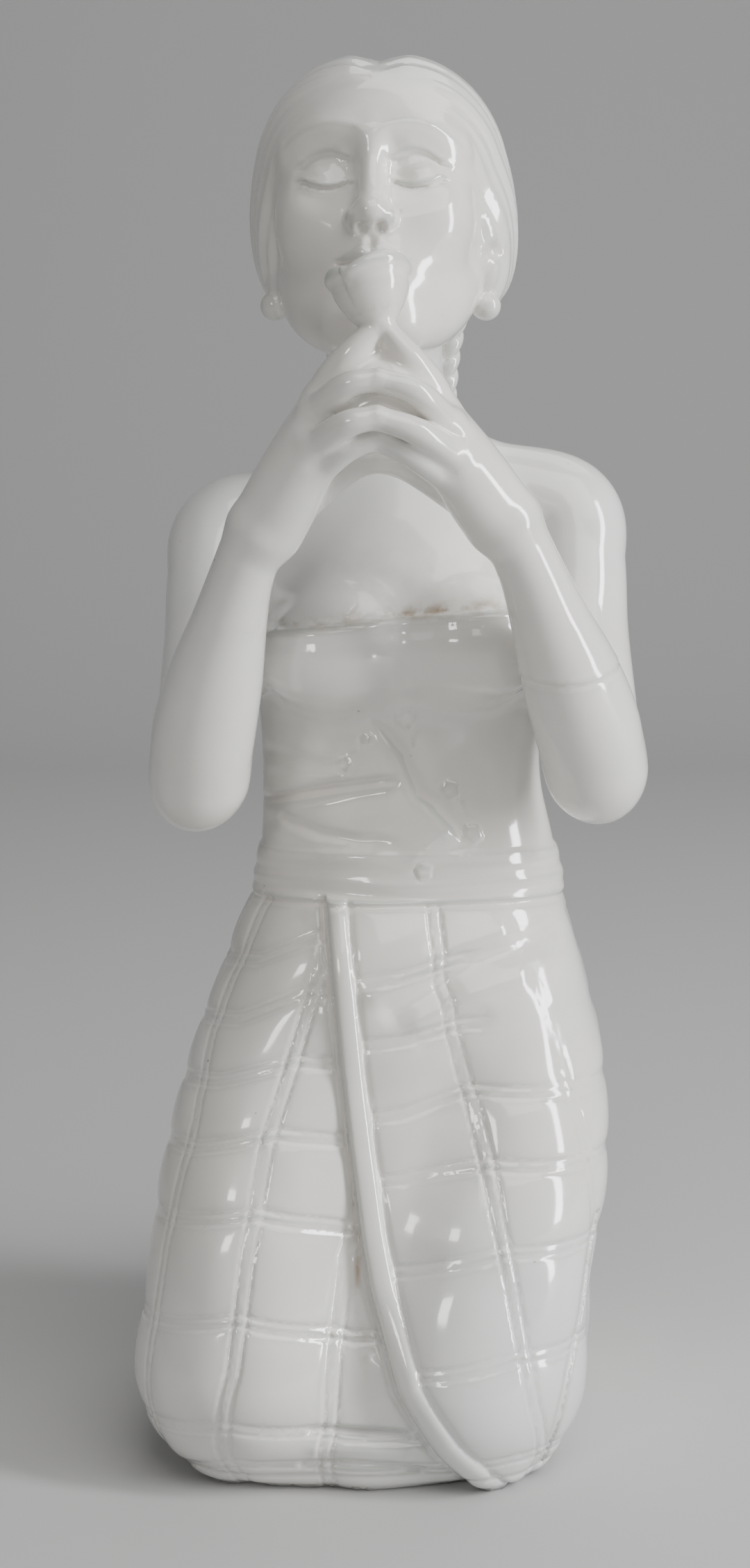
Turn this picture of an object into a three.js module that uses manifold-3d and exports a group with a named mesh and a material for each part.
// Kneeling girl figurine in glazed porcelain, about 29 cm high.
// Millimetres, +Z up, the figure faces -Y. The origin is on the ground, under
// the middle of the figure's box. It is one hollow casting, given here by its
// outer skin: the kneeling body in a wrapped skirt, bare shoulders, raised
// arms, the tented hands with a flower held to the lips, the head with its
// smooth parted hair, ball earrings and a braid down the back.
//
// The body is described the way a modeller builds it up: limbs with a radius
// along their line, rounded masses and lofted sections, melted together with
// fillets. The skin is then meshed, thinned out and cut flat on the ground.
import * as THREE from 'three';
import Module from 'manifold-3d';

// ---------------------------------------------------------------- sizes (mm)
const MESH_CELL = 1.5;          // size of a cell of the first, fine mesh
const LIMB_STEP = 4;            // longest straight step along a limb
const SKIN_TRIANGLES = 8600;    // triangles kept for the whole skin
const FINE_WEIGHT = 5;          // how much closer the hands and head are kept
const FINE_ABOVE = 196;         // the height above which that holds

// Trunk sections: height, centre x, centre y, half width, depth in front, behind
const TRUNK = [
  [92, 6.8, 3, 36, 24, 26], [104, 6.8, 3, 35.5, 23, 24], [118, 7.3, 2, 32.2, 20.5, 19.5],
  [130, 6.8, 0, 30.3, 17.5, 16.5], [142, 5.7, 0, 28.8, 15.9, 16.5], [156, 5.2, 0.5, 29.0, 16.3, 17.5],
  [170, 5.0, 1.5, 30.5, 19, 19], [184, 4.8, 3, 32, 21, 19.5], [196, 4.6, 5, 31.5, 19, 17.5],
  [205, 4.4, 6, 26, 15.5, 15], [212, 3.6, 6, 18, 12.5, 12.5], [220, 2.6, 4.5, 13, 11, 11.5],
  [230, 1.9, 1.5, 12, 11, 11.5], [244, 1.7, -2, 12.5, 12, 12.5],
];
const BUST_SIZE = [14.5, 12.8, 12.4], BUST_FILLET = 9;
const BUST_AT = [[-9.2, -13.4, 171], [19.6, -13.4, 172.5]];

// Skirt. Limb rows are x, y, z and radius.
const THIGHS = [
  [[-8, -1, 98, 24.5], [-16.0, -6, 80, 23.5], [-21.4, -14, 62, 23], [-24.6, -22, 44, 22.6], [-26.0, -27.5, 23, 22.0]],
  [[21, -1, 98, 23.5], [26, -6, 80, 22.8], [27, -14, 62, 22.2], [23.5, -22, 44, 22.2], [19.6, -27.5, 23, 21.8]],
];
const LAP = [[6, -2, 100, 21], [5, -8, 80, 19.5], [2, -14, 60, 17.5], [-1, -20, 42, 16.5], [-3, -26, 22, 15]];
const CALVES = [
  [[-25.0, -25, 20, 20.5], [-24, 5, 15, 19], [-21, 34, 13, 17.5], [-14, 58, 10.5, 14], [-9.5, 70, 9, 11.5]],
  [[20.0, -25, 20, 20.5], [26, 5, 15, 20], [29.5, 34, 13, 18.5], [21, 58, 10.5, 14], [15.5, 70, 9, 11.5]],
];
const SEAT_SIZE = [22, 20, 24], SEAT_AT = [[-6, 12, 82], [20, 12, 82]];
const REAR_FALLS = [
  [[-8, 9, 76, 21], [-12, 17, 56, 20.5], [-14, 28, 37, 20.5], [-12.5, 43, 24, 18.5], [-9, 60, 13, 14.5]],
  [[20, 9, 76, 21], [22, 17, 56, 20.5], [24, 28, 37, 20.5], [21, 43, 24, 18.5], [16, 60, 13, 14.5]],
];
const REAR_MIDDLE = [[5, 14, 70, 22], [4, 22, 50, 22], [3, 34, 32, 20], [3, 52, 16, 16], [3, 66, 9, 11]];
const SIDE_SIZE = [19, 24, 26], SIDE_AT = [[-25, 4, 34], [27, 4, 34]];
const HEM_FRONT_AT = [-3, -31, 10], HEM_FRONT_SIZE = [20, 15, 13];
const HIPS = [
  [80, 6.8, 1, 35, 24, 27], [96, 6.8, 1, 35, 24, 26], [106, 6.9, 1.5, 33.8, 23, 24], [119, 7.3, 2, 32.3, 21, 20.4],
];
// Wrapped edge of the skirt: a rolled cord of cloth from the waist to the hem
const WRAP_EDGE = [[-8.2, 117], [-6.2, 93], [-3.4, 67], [-0.6, 46], [3.0, 33], [10.6, 18.4], [20.8, 3]];
const WRAP_RADIUS = 1.9;
// The closed underside between the calves
const FLOOR_AT = [2, 10, 14], FLOOR_SIZE = [30, 50, 22];
// Feet, soles up: x of each foot, then heel, arch, ball and toes as y, z and
// their half width, half length and half height
const FOOT_X = [-7.6, 14.0], FOOT_FILLET = 6;
const FOOT = [[70, 11.5, 8.2, 11, 9.5], [81, 8.5, 7.4, 10, 6.8], [91, 6.5, 9.2, 9.5, 5.6], [99, 4.6, 8.6, 7, 4.2]];

// Arms
const UPPER_ARMS = [
  [[0, 5, 206.6, 11], [-16, 6.5, 198.8, 9.6], [-30.8, 6, 193.4, 11.1], [-32.4, 1, 184, 11.0], [-33.2, -5, 172, 10.7], [-34.6, -15, 158, 10.0], [-35.8, -22, 147, 9.4]],
  [[8, 5, 209, 11], [23, 6.5, 203.4, 9.6], [39.6, 6, 197.8, 11.4], [41.2, 1, 187, 11.1], [42.0, -5, 174, 10.7], [43.4, -15, 160, 10.2], [45.0, -22, 148.5, 9.6]],
];
const FOREARMS = [
  [[-35.6, -23, 146.0, 9.8], [-34.4, -27, 156, 10.4], [-31.8, -31.5, 167, 9.5], [-28.8, -36, 178, 7.6], [-26.0, -40, 188, 6.3], [-22.6, -43, 197, 6.1]],
  [[44.8, -23, 147.6, 10.0], [42.6, -27, 157, 10.7], [38.8, -31.5, 168, 9.8], [34.4, -36, 179, 7.8], [30.4, -40, 189, 6.4], [26.0, -43, 198.4, 6.1]],
];
const ELBOW_RADIUS = 6.2, ELBOW_AT = [[-37.2, -20.5, 141.8], [45.8, -20.5, 143.6]];

// Hands: wrist (outer, inner), then knuckle, middle joint and tip of the four
// fingers from the index finger down, and the thumb
const WRISTS = [[[-21.6, -42.5, 199.5], [-19.8, -43.5, 197.5]], [[25.0, -42.5, 201.0], [23.2, -43.5, 199]]];
const KNUCKLES = [
  [[-10.6, -45.5, 222.6], [-11.4, -50, 219.6], [-11.8, -51.5, 213.6], [-11.6, -49.5, 208.6]],
  [[13.0, -45.5, 220.4], [13.8, -50, 217.6], [15.6, -51.0, 211.4], [14.6, -49.5, 207.4]],
];
const MIDDLE_JOINTS = [
  [[-5.2, -49.6, 230.4], [-5.4, -56.4, 225.2], [-5.4, -57.8, 218.2], [-5.2, -54.2, 213.4]],
  [[7.4, -49.6, 229.0], [7.8, -56.4, 224.0], [8.0, -57.2, 216.8], [7.6, -54.2, 211.8]],
];
const TIPS = [
  [[0.8, -49.8, 236.4], [0.4, -57.0, 226.4], [0.2, -58.2, 219.6], [0.6, -54.4, 215.6]],
  [[1.2, -49.8, 236.6], [0.4, -57.0, 226.4], [0.2, -58.2, 219.6], [0.6, -54.4, 215.6]],
];
const THUMBS = [
  [[-19, -40, 199, 4.4], [-12.5, -41.5, 203.8, 3.5], [-5.4, -44, 209.2, 2.9], [0.2, -45.5, 211.6, 2.3]],
  [[22, -40, 200.5, 4.4], [15.2, -41.5, 204.6, 3.5], [7.2, -44, 209.4, 2.9], [0.8, -45.5, 211.6, 2.3]],
];
const KNUCKLE_R = [3.1, 3.3, 3.3, 3.0], JOINT_R = [2.6, 2.5, 2.6, 2.3], TIP_R = [1.8, 2.1, 2.2, 1.9];
const PALM_R = [5.2, 4.5];
const WEB_AT = [1.0, -47.2, 221.2], WEB_SIZE = [12.5, 5.0, 11.8];
const WEB_FRONT_AT = [1.0, -50.2, 220.4], WEB_FRONT_SIZE = [9.5, 5.6, 8.6];

// Flower: cup rows from the stalk up, and the plane of its open top
const CUP = [[0.9, -48.6, 234.6, 2.2], [0.3, -48.0, 238.0, 3.9], [-0.7, -47.1, 242.0, 6.2], [-1.5, -46.4, 245.6, 7.4], [-2.0, -46.0, 248.8, 7.0], [-2.2, -45.8, 251.0, 5.6]];
const CUP_TOP_AT = [-1.7, -46.1, 246.6], CUP_TOP_NORMAL = [-0.22, 0.28, 0.93];

// Head: its centre, how far it leans back and turns (degrees), and its masses
// in its own axes: x to the side, y to the back, z to the crown
const HEAD_AT = [1.0, -5.0, 257.0], HEAD_LEAN = 16, HEAD_TURN = 4;
const SKULL_AT = [0, 3, 7], SKULL_SIZE = [22, 26.5, 23.8];
const FOREHEAD_AT = [0, -7.2, 9.6], FOREHEAD_SIZE = [20.4, 19.4, 16.2];
const FACE_AT = [0, -8, -8], FACE_SIZE = [18.2, 16.6, 21];
const MOUTH_AT = [0, -14.6, -14.5], MOUTH_SIZE = [10.5, 11.2, 9];
const CHIN_AT = [0, -18.4, -25.2], CHIN_SIZE = [7.6, 7, 6];
const UNDER_JAW_AT = [0, -5, -19.5], UNDER_JAW_SIZE = [13.5, 14.5, 10.2];
const JAW = [[15.8, 2, -10, 5.5], [12.8, -6, -19, 5.0], [5.6, -16, -26, 4.4]];
const CHEEK_AT = [10.6, -15.6, -5.4], CHEEK_SIZE = [7.6, 7.6, 7.4];
const BROW = [[2, -24, 8.6, 1.9], [9.5, -22.6, 9.9, 1.9], [16, -17.2, 8.2, 1.7]];
const SOCKET_AT = [9.3, -28.6, 1.6], SOCKET_SIZE = [6.6, 5, 4.6];
const EYE_AT = [9, -18.9, 0.9], EYE_SIZE = [5.2, 5.3, 4.5];
const NOSE = [[0, -23.6, 8.4, 2.3], [0, -24.8, 3.4, 1.9], [0, -26.4, -2.2, 2.1], [0, -27.7, -6.2, 2.5]];
const NOSE_TIP_AT = [0, -28, -7.5], NOSE_TIP_SIZE = [2.9, 2.9, 2.6];
const NOSTRIL_AT = [3.2, -26.2, -8.2], NOSTRIL_SIZE = [2.1, 2.9, 2];
const LIPS = [
  [[-5.9, -22.6, -16.3, 0.8], [-3.6, -24.9, -15.4, 1.3], [0, -26, -15.1, 1.5], [3.6, -24.9, -15.4, 1.3], [5.9, -22.6, -16.3, 0.8]],
  [[-5.4, -22.7, -17, 0.8], [-3, -24.7, -18.1, 1.5], [0, -25.4, -18.5, 1.8], [3, -24.7, -18.1, 1.5], [5.4, -22.7, -17, 0.8]],
];
const CHIN_FOLD = [[-4, -26.6, -21.8, 1.2], [0, -27.8, -22, 1.6], [4, -26.6, -21.8, 1.2]];
const HAIR_SIZE = [22.8, 28.4, 25.4], HAIR_AT = [3.2, 4.8, 9];
const HAIR_SIDE_SIZE = [6.8, 13, 13.5], HAIR_SIDE_X = [-19.0, 20.6];
const HAIR_BACK_AT = [0, 22, -7], HAIR_BACK_SIZE = [17, 12, 14];
const PARTING = [[0.5, -24.5, 23.6, 3.2], [0.5, -19.4, 30.0, 4.3], [0.5, -10, 36.2, 5.4], [0.5, 4, 39.3, 5.4], [0.5, 12.9, 38.2, 4.9], [0.5, 21.8, 33.9, 4.0], [0.5, 28.4, 28.4, 3.0]];
const EARRING_X = [-20.1, 22.4], EARRING_RADIUS = 3.0, EARRING_Y = -10, EARRING_Z = 240.2;
const LOBE_AT = [[-18.7, -8, 243.4], [20.9, -7.6, 243.4]], LOBE_SIZE = [3, 3.8, 5];
// Braid: its line, its radius at the top and the bottom, and its twist bumps
const BRAID = [[17.4, 5, 244], [15.6, 8, 236], [14.6, 9.5, 229], [14.2, 11.5, 221], [13.4, 16, 212], [11.0, 21, 202], [8.6, 23.8, 190], [7.6, 23.4, 178]];
const BRAID_RADIUS = [3.1, 2.2], BRAID_BUMP = 0.35;

// ------------------------------------------------------------ round shapes
const blend = (a, b, k) => {
  if (k <= 0) return Math.min(a, b);
  const h = Math.max(k - Math.abs(a - b), 0) / k;
  return Math.min(a, b) - h * h * k * 0.25;
};
const carve = (a, b, k) => -blend(-a, -b, k);

// Points along a smooth curve through the rows, every column alike
function smoothRows(rows, n) {
  const at = (i) => (i < 0 ? rows[0].map((v, j) => 2 * v - rows[1][j])
    : i >= rows.length ? rows.at(-1).map((v, j) => 2 * v - rows.at(-2)[j]) : rows[i]);
  const out = [];
  for (let i = 0; i < rows.length - 1; i++) {
    const [a, b, c, d] = [at(i - 1), at(i), at(i + 1), at(i + 2)];
    for (let s = 0; s < n; s++) {
      const t = s / n;
      out.push(b.map((_, j) => 0.5 * (2 * b[j] + (c[j] - a[j]) * t
        + (2 * a[j] - 5 * b[j] + 4 * c[j] - d[j]) * t * t + (3 * b[j] - a[j] - 3 * c[j] + d[j]) * t ** 3)));
    }
  }
  out.push([...rows.at(-1)]);
  return out;
}

// A shape is its distance function and a ball that holds it
function limb(rows, fillet, steps) {
  let n = steps;
  if (!n) {
    let far = 0;
    for (let i = 1; i < rows.length; i++) far = Math.max(far, Math.hypot(rows[i][0] - rows[i - 1][0], rows[i][1] - rows[i - 1][1], rows[i][2] - rows[i - 1][2]));
    n = Math.min(12, Math.max(2, Math.ceil(far / LIMB_STEP)));
  }
  const s = smoothRows(rows, n);
  const box = new THREE.Box3().setFromPoints(s.map((p) => new THREE.Vector3(p[0], p[1], p[2])));
  const ball = box.getBoundingSphere(new THREE.Sphere());
  const widest = Math.max(...s.map((p) => p[3]));
  const f = (x, y, z) => {
    let best = 1e9;
    for (let i = 0; i < s.length - 1; i++) {
      const a = s[i], b = s[i + 1];
      const dx = b[0] - a[0], dy = b[1] - a[1], dz = b[2] - a[2];
      const px = x - a[0], py = y - a[1], pz = z - a[2];
      const t = Math.min(1, Math.max(0, (px * dx + py * dy + pz * dz) / (dx * dx + dy * dy + dz * dz)));
      const d = Math.hypot(px - t * dx, py - t * dy, pz - t * dz) - (a[3] + (b[3] - a[3]) * t);
      if (d < best) best = d;
    }
    return best;
  };
  return { f, c: [ball.center.x, ball.center.y, ball.center.z], r: ball.radius + widest, k: fillet };
}

function egg(at, size, fillet, axes) {
  const [rx, ry, rz] = size;
  const f = (x, y, z) => {
    let [qx, qy, qz] = [x - at[0], y - at[1], z - at[2]];
    if (axes) [qx, qy, qz] = axes.map((a) => a[0] * qx + a[1] * qy + a[2] * qz);
    const k0 = Math.hypot(qx / rx, qy / ry, qz / rz);
    const k1 = Math.hypot(qx / (rx * rx), qy / (ry * ry), qz / (rz * rz)) + 1e-9;
    return k0 < 1e-3 ? -Math.min(rx, ry, rz) : (k0 * (k0 - 1)) / k1;
  };
  return { f, c: at, r: Math.max(...size), k: fillet };
}

function loft(rows, fillet) {
  const s = smoothRows(rows, 6);
  const f = (x, y, z) => {
    let i = 0;
    while (i < s.length - 2 && s[i + 1][0] < z) i++;
    const t = Math.min(1, Math.max(0, (z - s[i][0]) / (s[i + 1][0] - s[i][0])));
    const v = s[i].map((a, j) => a + (s[i + 1][j] - a) * t);
    const qx = x - v[1], qy = y - v[2], b = qy < 0 ? v[4] : v[5];
    const k0 = Math.hypot(qx / v[3], qy / b);
    const k1 = Math.hypot(qx / (v[3] * v[3]), qy / (b * b)) + 1e-6;
    const d = k0 < 1e-2 ? -Math.min(v[3], b) : (k0 * (k0 - 1)) / k1;
    return carve(d, Math.max(s[0][0] - z, z - s.at(-1)[0]), 3);
  };
  const lo = rows[0][0], hi = rows.at(-1)[0];
  return { f, c: [6, 2, (lo + hi) / 2], r: Math.hypot((hi - lo) / 2, 42), k: fillet };
}

const cut = (shape, fillet) => ({ ...shape, k: fillet, cut: true });

// Shapes melted together in order, as one shape again
function melt(shapes, fillet) {
  const box = new THREE.Box3();
  for (const s of shapes) {
    if (s.cut) continue;
    box.expandByPoint(new THREE.Vector3(s.c[0] - s.r, s.c[1] - s.r, s.c[2] - s.r));
    box.expandByPoint(new THREE.Vector3(s.c[0] + s.r, s.c[1] + s.r, s.c[2] + s.r));
  }
  const ball = box.getBoundingSphere(new THREE.Sphere());
  const f = (x, y, z) => {
    let d = 200;
    for (const s of shapes) {
      const away = Math.hypot(x - s.c[0], y - s.c[1], z - s.c[2]) - s.r;
      if (s.cut) {
        if (away < s.k - d) d = carve(d, -s.f(x, y, z), s.k);
      } else if (away < d + s.k) d = blend(d, s.f(x, y, z), s.k);
    }
    return d;
  };
  return { f, c: [ball.center.x, ball.center.y, ball.center.z], r: ball.radius, k: fillet };
}

// ---------------------------------------------------------------- the figure
function headAxes() {
  const l = THREE.MathUtils.degToRad(HEAD_LEAN), w = THREE.MathUtils.degToRad(HEAD_TURN);
  const back = [0, Math.cos(l), -Math.sin(l)];
  return [
    [Math.cos(w), -back[1] * Math.sin(w), -back[2] * Math.sin(w)],
    [Math.sin(w), back[1] * Math.cos(w), back[2] * Math.cos(w)],
    [0, Math.sin(l), Math.cos(l)],
  ];
}

function figure() {
  const A = headAxes();
  const H = ([x, y, z, ...rest]) => [0, 1, 2].map((i) => HEAD_AT[i] + x * A[0][i] + y * A[1][i] + z * A[2][i]).concat(rest);
  const sides = [-1, 1];

  const skirt = melt([
    ...THIGHS.map((t) => limb(t, 12)),
    limb(LAP, 10),
    ...CALVES.map((t) => limb(t, 14)),
    ...SEAT_AT.map((c) => egg(c, SEAT_SIZE, 14)),
    ...REAR_FALLS.map((t) => limb(t, 16)),
    limb(REAR_MIDDLE, 12),
    ...SIDE_AT.map((c) => egg(c, SIDE_SIZE, 12)),
    egg(HEM_FRONT_AT, HEM_FRONT_SIZE, 8),
    egg(FLOOR_AT, FLOOR_SIZE, 8),
    loft(HIPS, 6),
  ], 2);

  // The wrapped edge lies on the front of the skirt, so its depth is found there
  const onSkirt = (x, z) => {
    let y = -70;
    for (let i = 0; i < 60 && skirt.f(x, y, z) > 0.05; i++) y += Math.max(0.05, 0.7 * skirt.f(x, y, z));
    return y;
  };
  const edge = smoothRows(WRAP_EDGE, 4).map(([x, z]) => [x, onSkirt(x, z) + 0.6, z, WRAP_RADIUS]);

  const arms = [0, 1].map((i) => melt([
    limb(UPPER_ARMS[i], 0), limb(FOREARMS[i], 3), egg(ELBOW_AT[i], Array(3).fill(ELBOW_RADIUS), 5),
  ], 4));

  const hand = (i) => {
    const shapes = [];
    for (let j = 0; j < 4; j++) {
      const w = WRISTS[i][0].map((v, n) => v + ((WRISTS[i][1][n] - v) * j) / 3), k = KNUCKLES[i][j];
      shapes.push(limb([[...w, PALM_R[0]], [...w.map((v, n) => (v + k[n]) / 2), PALM_R[1]], [...k, KNUCKLE_R[j]]], 4));
    }
    for (let j = 0; j < 4; j++) {
      shapes.push(limb([[...KNUCKLES[i][j], KNUCKLE_R[j]], [...MIDDLE_JOINTS[i][j], JOINT_R[j]], [...TIPS[i][j], TIP_R[j]]], 1.2));
    }
    shapes.push(limb(THUMBS[i], 2));
    return melt(shapes, 0.8);
  };
  const hands = melt([hand(0), hand(1), egg(WEB_AT, WEB_SIZE, 3), egg(WEB_FRONT_AT, WEB_FRONT_SIZE, 2)], 2.5);

  const cup = limb(CUP, 0);
  const openTop = {
    ...cup, k: 1,
    f: (x, y, z) => carve(cup.f(x, y, z), (x - CUP_TOP_AT[0]) * CUP_TOP_NORMAL[0]
      + (y - CUP_TOP_AT[1]) * CUP_TOP_NORMAL[1] + (z - CUP_TOP_AT[2]) * CUP_TOP_NORMAL[2], 1.5),
  };

  const mirror = (p, s) => [p[0] * s, ...p.slice(1)];
  const head = melt([
    egg(H(SKULL_AT), SKULL_SIZE, 0, A),
    egg(H(FOREHEAD_AT), FOREHEAD_SIZE, 5, A),
    egg(H(FACE_AT), FACE_SIZE, 9, A),
    egg(H(MOUTH_AT), MOUTH_SIZE, 5, A),
    egg(H(CHIN_AT), CHIN_SIZE, 5, A),
    egg(H(UNDER_JAW_AT), UNDER_JAW_SIZE, 7, A),
    ...sides.flatMap((s) => [
      limb(JAW.map((p) => H(mirror(p, s))), 7),
      egg(H(mirror(CHEEK_AT, s)), CHEEK_SIZE, 6, A),
      limb(BROW.map((p) => H(mirror(p, s))), 5),
    ]),
    ...sides.map((s) => cut(egg(H(mirror(SOCKET_AT, s)), SOCKET_SIZE, 0, A), 6)),
    ...sides.map((s) => egg(H(mirror(EYE_AT, s)), EYE_SIZE, 1.6, A)),
    limb(NOSE.map(H), 3),
    egg(H(NOSE_TIP_AT), NOSE_TIP_SIZE, 2, A),
    ...sides.map((s) => egg(H(mirror(NOSTRIL_AT, s)), NOSTRIL_SIZE, 1.8, A)),
    ...LIPS.map((rows) => limb(rows.map(H), 1.2)),
    cut(limb(CHIN_FOLD.map(H), 0), 3),
  ], 3);
  const hair = melt([
    egg(H(mirror(HAIR_AT, -1)), HAIR_SIZE, 0, A), egg(H(HAIR_AT), HAIR_SIZE, 3, A),
    ...HAIR_SIDE_X.map((x) => egg(H([x, 5, -3.4]), HAIR_SIDE_SIZE, 6, A)),
    egg(H(HAIR_BACK_AT), HAIR_BACK_SIZE, 6, A),
    cut(limb(PARTING.map(H), 0), 4),
  ], 0.8);

  const line = smoothRows(BRAID, 3);
  const braid = limb(line.map((p, i) => [...p,
    BRAID_RADIUS[0] + ((BRAID_RADIUS[1] - BRAID_RADIUS[0]) * i) / line.length + BRAID_BUMP * Math.cos(i * Math.PI)]), 1, 2);

  return melt([
    loft(TRUNK, 0),
    ...BUST_AT.map((c) => egg(c, BUST_SIZE, BUST_FILLET)),
    skirt,
    limb(edge, 1.5, 2),
    ...FOOT_X.flatMap((x) => FOOT.map(([y, z, ...size]) => egg([x, y, z], size, FOOT_FILLET))),
    ...arms, hands, openTop, head, hair,
    ...EARRING_X.flatMap((x, i) => [
      egg(LOBE_AT[i], LOBE_SIZE, 1),
      egg([x * 0.93, -4, EARRING_Z + 3.8], [3, 3.5, 4.5], 1),
      egg([x, EARRING_Y, EARRING_Z], Array(3).fill(EARRING_RADIUS), 0.5),
    ]),
    braid,
  ], 0);
}

// ------------------------------------------------------------------- meshing
// The skin on a grid whose cubes are split into six tetrahedra, which always
// gives a closed surface. Only blocks of cells near the skin are visited.
function skinMesh(f, lo, hi, h) {
  const B = 6;
  const nb = [0, 1, 2].map((i) => Math.ceil((hi[i] - lo[i]) / h / B));
  const n = nb.map((v) => v * B + 1);
  const id = (i, j, k) => (k * n[1] + j) * n[0] + i;
  const val = new Float32Array(n[0] * n[1] * n[2]).fill(NaN);
  const value = (i, j, k) => {
    const a = id(i, j, k);
    if (Number.isNaN(val[a])) val[a] = f(lo[0] + i * h, lo[1] + j * h, lo[2] + k * h) || 1e-4;
    return val[a];
  };
  const verts = [], tris = [], seen = new Map();
  const total = n[0] * n[1] * n[2];
  const corner = [[0, 0, 0], [1, 0, 0], [0, 1, 0], [1, 1, 0], [0, 0, 1], [1, 0, 1], [0, 1, 1], [1, 1, 1]];
  const tets = [[0, 1, 3, 7], [0, 3, 2, 7], [0, 2, 6, 7], [0, 6, 4, 7], [0, 4, 5, 7], [0, 5, 1, 7]];
  const point = (a, b, va, vb) => {
    const key = a < b ? a * total + b : b * total + a;
    let v = seen.get(key);
    if (v === undefined) {
      const t = Math.min(0.95, Math.max(0.05, va / (va - vb)));
      const pa = [a % n[0], Math.floor(a / n[0]) % n[1], Math.floor(a / n[0] / n[1])];
      const pb = [b % n[0], Math.floor(b / n[0]) % n[1], Math.floor(b / n[0] / n[1])];
      v = verts.length / 3;
      for (let c = 0; c < 3; c++) verts.push(lo[c] + h * (pa[c] + (pb[c] - pa[c]) * t));
      seen.set(key, v);
    }
    return v;
  };
  const reach = (B * h * Math.sqrt(3)) / 2 + 3;
  for (let bk = 0; bk < nb[2]; bk++) for (let bj = 0; bj < nb[1]; bj++) for (let bi = 0; bi < nb[0]; bi++) {
    const mid = f(lo[0] + (bi + 0.5) * B * h, lo[1] + (bj + 0.5) * B * h, lo[2] + (bk + 0.5) * B * h);
    if (Math.abs(mid) > reach) continue;
    for (let k = bk * B; k < (bk + 1) * B; k++) for (let j = bj * B; j < (bj + 1) * B; j++) for (let i = bi * B; i < (bi + 1) * B; i++) {
      const v = corner.map((c) => value(i + c[0], j + c[1], k + c[2]));
      const inside = v.filter((x) => x < 0).length;
      if (inside === 0 || inside === 8) continue;
      const ids = corner.map((c) => id(i + c[0], j + c[1], k + c[2]));
      for (const t of tets) {
        const inn = t.filter((c) => v[c] < 0), out = t.filter((c) => v[c] >= 0);
        if (!inn.length || !out.length) continue;
        const e = (a, b) => point(ids[a], ids[b], v[a], v[b]);
        let poly;
        if (inn.length === 1) poly = out.map((o) => e(inn[0], o));
        else if (out.length === 1) poly = inn.map((a) => e(out[0], a));
        else poly = [e(inn[0], out[0]), e(inn[0], out[1]), e(inn[1], out[1]), e(inn[1], out[0])];
        // turn the face so that it looks away from the inside corners
        const p = poly.map((q) => [verts[3 * q], verts[3 * q + 1], verts[3 * q + 2]]);
        const u = p[1].map((c, m) => c - p[0][m]), w = p[2].map((c, m) => c - p[0][m]);
        const nn = [u[1] * w[2] - u[2] * w[1], u[2] * w[0] - u[0] * w[2], u[0] * w[1] - u[1] * w[0]];
        const q = inn[0], g = [i + corner[q][0], j + corner[q][1], k + corner[q][2]];
        const away = [0, 1, 2].reduce((s, m) => s + nn[m] * (p[0][m] - (lo[m] + h * g[m])), 0);
        if (away < 0) poly.reverse();
        for (let m = 1; m + 1 < poly.length; m++) tris.push(poly[0], poly[m], poly[m + 1]);
      }
    }
  }
  return { verts, tris };
}

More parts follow.
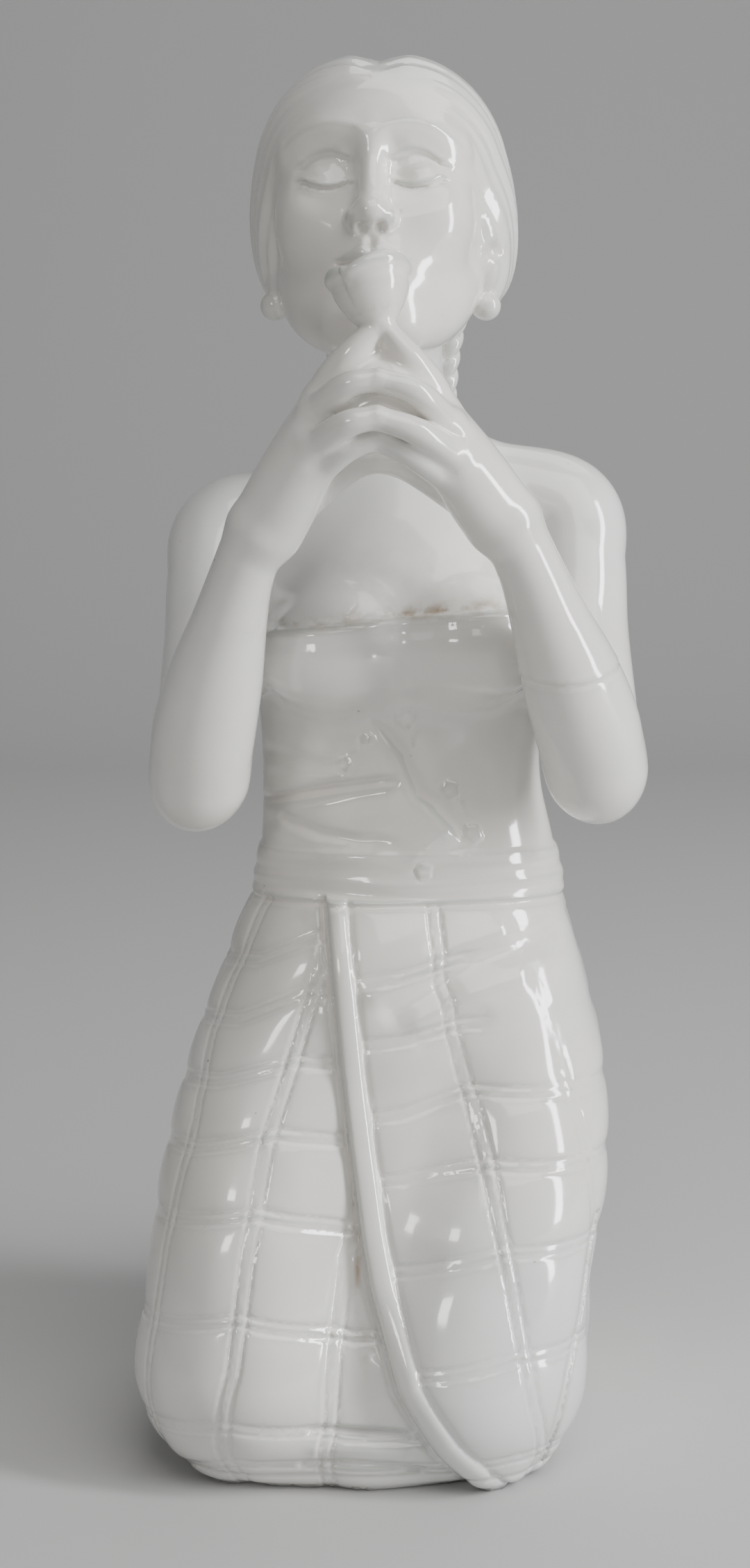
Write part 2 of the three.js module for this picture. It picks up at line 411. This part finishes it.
// Thin a closed mesh out to a number of triangles: the edge whose loss moves
// the skin least goes first, and no edge goes that would fold or pinch it.
function thinOut({ verts, tris }, target, weightAt) {
  const nv = verts.length / 3;
  let nt = tris.length / 3;
  const V = Float64Array.from(verts), T = Int32Array.from(tris), alive = new Uint8Array(nt).fill(1);
  const around = Array.from({ length: nv }, () => []);
  for (let t = 0; t < nt; t++) for (let c = 0; c < 3; c++) around[T[3 * t + c]].push(t);
  const Q = new Float64Array(nv * 10), stamp = new Int32Array(nv), gone = new Uint8Array(nv);
  const normal = (a, b, c) => {
    const ux = b[0] - a[0], uy = b[1] - a[1], uz = b[2] - a[2], wx = c[0] - a[0], wy = c[1] - a[1], wz = c[2] - a[2];
    return [uy * wz - uz * wy, uz * wx - ux * wz, ux * wy - uy * wx];
  };
  const at = (v) => [V[3 * v], V[3 * v + 1], V[3 * v + 2]];
  for (let t = 0; t < nt; t++) {
    const a = at(T[3 * t]), n = normal(a, at(T[3 * t + 1]), at(T[3 * t + 2])), l = Math.hypot(...n) || 1e-12;
    const [x, y, z] = n.map((v) => v / l), d = -(x * a[0] + y * a[1] + z * a[2]), w = 0.5 * l * weightAt(a);
    const q = [x * x, x * y, x * z, x * d, y * y, y * z, y * d, z * z, z * d, d * d];
    for (let c = 0; c < 3; c++) for (let m = 0; m < 10; m++) Q[10 * T[3 * t + c] + m] += w * q[m];
  }
  const cost = (q, [x, y, z]) => q[0] * x * x + 2 * q[1] * x * y + 2 * q[2] * x * z + 2 * q[3] * x + q[4] * y * y
    + 2 * q[5] * y * z + 2 * q[6] * y + q[7] * z * z + 2 * q[8] * z + q[9];
  const best = (a, b) => {
    const q = new Float64Array(10);
    for (let m = 0; m < 10; m++) q[m] = Q[10 * a + m] + Q[10 * b + m];
    const pa = at(a), pb = at(b), mid = pa.map((v, i) => (v + pb[i]) / 2);
    const r = 1e-4 * (q[0] + q[4] + q[7]);      // holds the point near the middle where the skin is flat
    const m = [q[0] + r, q[1], q[2], q[4] + r, q[5], q[7] + r], v = [-q[3] + r * mid[0], -q[6] + r * mid[1], -q[8] + r * mid[2]];
    const c00 = m[3] * m[5] - m[4] * m[4], c01 = m[2] * m[4] - m[1] * m[5], c02 = m[1] * m[4] - m[2] * m[3];
    const det = m[0] * c00 + m[1] * c01 + m[2] * c02;
    let p = mid;
    if (Math.abs(det) > 1e-14) {
      const c11 = m[0] * m[5] - m[2] * m[2], c12 = m[1] * m[2] - m[0] * m[4], c22 = m[0] * m[3] - m[1] * m[1];
      p = [(c00 * v[0] + c01 * v[1] + c02 * v[2]) / det, (c01 * v[0] + c11 * v[1] + c12 * v[2]) / det, (c02 * v[0] + c12 * v[1] + c22 * v[2]) / det];
      if (Math.hypot(p[0] - mid[0], p[1] - mid[1], p[2] - mid[2]) > 2 * Math.hypot(pa[0] - pb[0], pa[1] - pb[1], pa[2] - pb[2])) p = mid;
    }
    const len2 = (pa[0] - pb[0]) ** 2 + (pa[1] - pb[1]) ** 2 + (pa[2] - pb[2]) ** 2;
    return { p, c: Math.max(cost(q, p), 0) + 1e-5 * len2 };
  };
  // binary heap of edges
  const heap = [];
  const push = (e) => {
    let i = heap.length; heap.push(e);
    while (i > 0) { const u = (i - 1) >> 1; if (heap[u].c <= e.c) break; heap[i] = heap[u]; i = u; }
    heap[i] = e;
  };
  const pop = () => {
    const top = heap[0], e = heap.pop();
    if (heap.length) {
      let i = 0;
      for (;;) {
        let c = 2 * i + 1;
        if (c >= heap.length) break;
        if (c + 1 < heap.length && heap[c + 1].c < heap[c].c) c++;
        if (heap[c].c >= e.c) break;
        heap[i] = heap[c]; i = c;
      }
      heap[i] = e;
    }
    return top;
  };
  const addEdge = (a, b) => push({ a, b, sa: stamp[a], sb: stamp[b], ...best(a, b) });
  for (let t = 0; t < nt; t++) for (let c = 0; c < 3; c++) {
    const a = T[3 * t + c], b = T[3 * t + ((c + 1) % 3)];
    if (a < b) addEdge(a, b);
  }
  const ring = (v) => {
    const s = new Set();
    for (const t of around[v]) if (alive[t]) for (let c = 0; c < 3; c++) if (T[3 * t + c] !== v) s.add(T[3 * t + c]);
    return s;
  };
  let left = nt;
  while (left > target && heap.length) {
    const e = pop();
    if (gone[e.a] || gone[e.b] || stamp[e.a] !== e.sa || stamp[e.b] !== e.sb) continue;
    const ra = ring(e.a), rb = ring(e.b);
    let shared = 0;
    for (const v of ra) if (rb.has(v)) shared++;
    if (shared !== 2) continue;
    let fold = false;
    for (const v of [e.a, e.b]) {
      for (const t of around[v]) {
        if (!alive[t] || fold) continue;
        const c = [T[3 * t], T[3 * t + 1], T[3 * t + 2]];
        if (c.includes(e.a) && c.includes(e.b)) continue;
        const before = normal(...c.map(at)), after = normal(...c.map((u) => (u === v ? e.p : at(u))));
        const lb = Math.hypot(...before), la = Math.hypot(...after);
        if (before[0] * after[0] + before[1] * after[1] + before[2] * after[2] < 0.3 * lb * la || la < 0.02) fold = true;
      }
    }
    if (fold) continue;
    gone[e.b] = 1;
    for (let m = 0; m < 3; m++) V[3 * e.a + m] = e.p[m];
    for (let m = 0; m < 10; m++) Q[10 * e.a + m] += Q[10 * e.b + m];
    for (const t of around[e.b]) {
      if (!alive[t]) continue;
      const c = [T[3 * t], T[3 * t + 1], T[3 * t + 2]];
      if (c.includes(e.a)) { alive[t] = 0; left--; continue; }
      for (let m = 0; m < 3; m++) if (T[3 * t + m] === e.b) T[3 * t + m] = e.a;
      around[e.a].push(t);
    }
    around[e.a] = around[e.a].filter((t) => alive[t]);
    around[e.b] = [];
    stamp[e.a]++;
    for (const v of ring(e.a)) addEdge(Math.min(e.a, v), Math.max(e.a, v));
  }
  const map = new Int32Array(nv).fill(-1), outV = [], outT = [];
  for (let t = 0; t < nt; t++) if (alive[t]) for (let c = 0; c < 3; c++) {
    const v = T[3 * t + c];
    if (map[v] < 0) { map[v] = outV.length / 3; outV.push(...at(v)); }
    outT.push(map[v]);
  }
  return { verts: outV, tris: outT };
}

// ------------------------------------------------------------ build the skin
const body = figure();
const fine = skinMesh(body.f, [-62, -70, -10.6], [68, 116, 296], MESH_CELL);
const skin = thinOut(fine, SKIN_TRIANGLES, (p) => (p[2] > FINE_ABOVE ? FINE_WEIGHT : 1));

const wasm = await Module();
wasm.setup();
const solid = (verts, tris) => new wasm.Manifold(new wasm.Mesh({
  numProp: 3, vertProperties: Float32Array.from(verts), triVerts: Uint32Array.from(tris),
}));
const ground = new THREE.BoxGeometry(400, 400, 100).translate(0, 0, -50);
const box = [...ground.attributes.position.array];
const corners = new Map(), boxVerts = [], boxTris = [];
for (const i of ground.index.array) {
  const p = box.slice(3 * i, 3 * i + 3), key = p.join();
  if (!corners.has(key)) { corners.set(key, boxVerts.length / 3); boxVerts.push(...p); }
  boxTris.push(corners.get(key));
}
const standing = solid(skin.verts, skin.tris).subtract(solid(boxVerts, boxTris)).getMesh();

const geometry = new THREE.BufferGeometry();
geometry.setAttribute('position', new THREE.BufferAttribute(new Float32Array(standing.vertProperties), 3));
geometry.setIndex(new THREE.BufferAttribute(new Uint32Array(standing.triVerts), 1));
geometry.computeBoundingBox();
const mid = geometry.boundingBox.getCenter(new THREE.Vector3());
geometry.translate(-mid.x, -mid.y, -geometry.boundingBox.min.z);
geometry.computeVertexNormals();

const porcelain = new THREE.MeshStandardMaterial({ color: 0xe4e2dc, roughness: 0.12, metalness: 0 });
const figurine = new THREE.Mesh(geometry, porcelain);
figurine.name = 'kneeling_girl_figurine';

const group = new THREE.Group();
group.add(figurine);
export default group;
